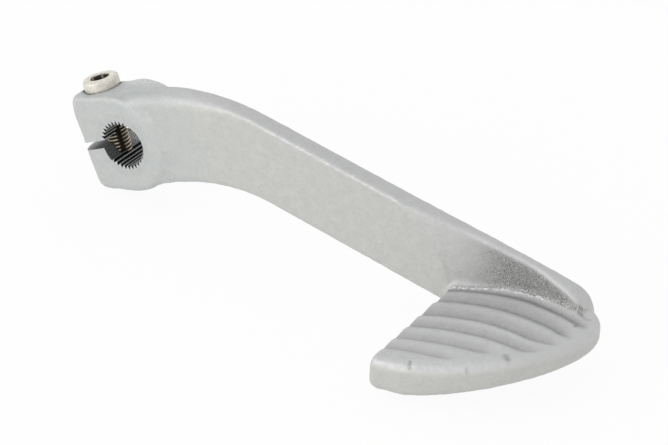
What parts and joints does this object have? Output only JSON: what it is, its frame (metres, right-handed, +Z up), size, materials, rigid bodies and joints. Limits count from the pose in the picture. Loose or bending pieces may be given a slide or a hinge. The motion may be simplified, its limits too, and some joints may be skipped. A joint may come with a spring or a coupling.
{
  "type": "kick-start lever",
  "caption": "Cast kick-start lever: serrated clamp hub with slot and socket-head pinch screw, flat curved arm, and a half-leaf foot pad with a ribbed tread.",
  "frame": {"origin": "on the axis of the splined bore, half way through the hub", "axes": "+X from the hub towards the foot pad; +Y along the shaft towards the engine, so the foot pad stands out to -Y; +Z up, out of the pad's tread"},
  "size_m": [0.1637, 0.0508, 0.0387],
  "materials": {
    "cast_alloy": "satin",
    "plated_steel": "satin"
  },
  "bodies": {
    "lever": {"kick_lever": "cast_alloy"},
    "screw": {"clamp_screw": "plated_steel"}
  },
  "joints": [
    {"name": "screw_out", "type": "slide", "parent": "lever", "child": "screw", "axis": [-0.304, 0, 0.9527], "range_m": [0, 0.022]}
  ]
}
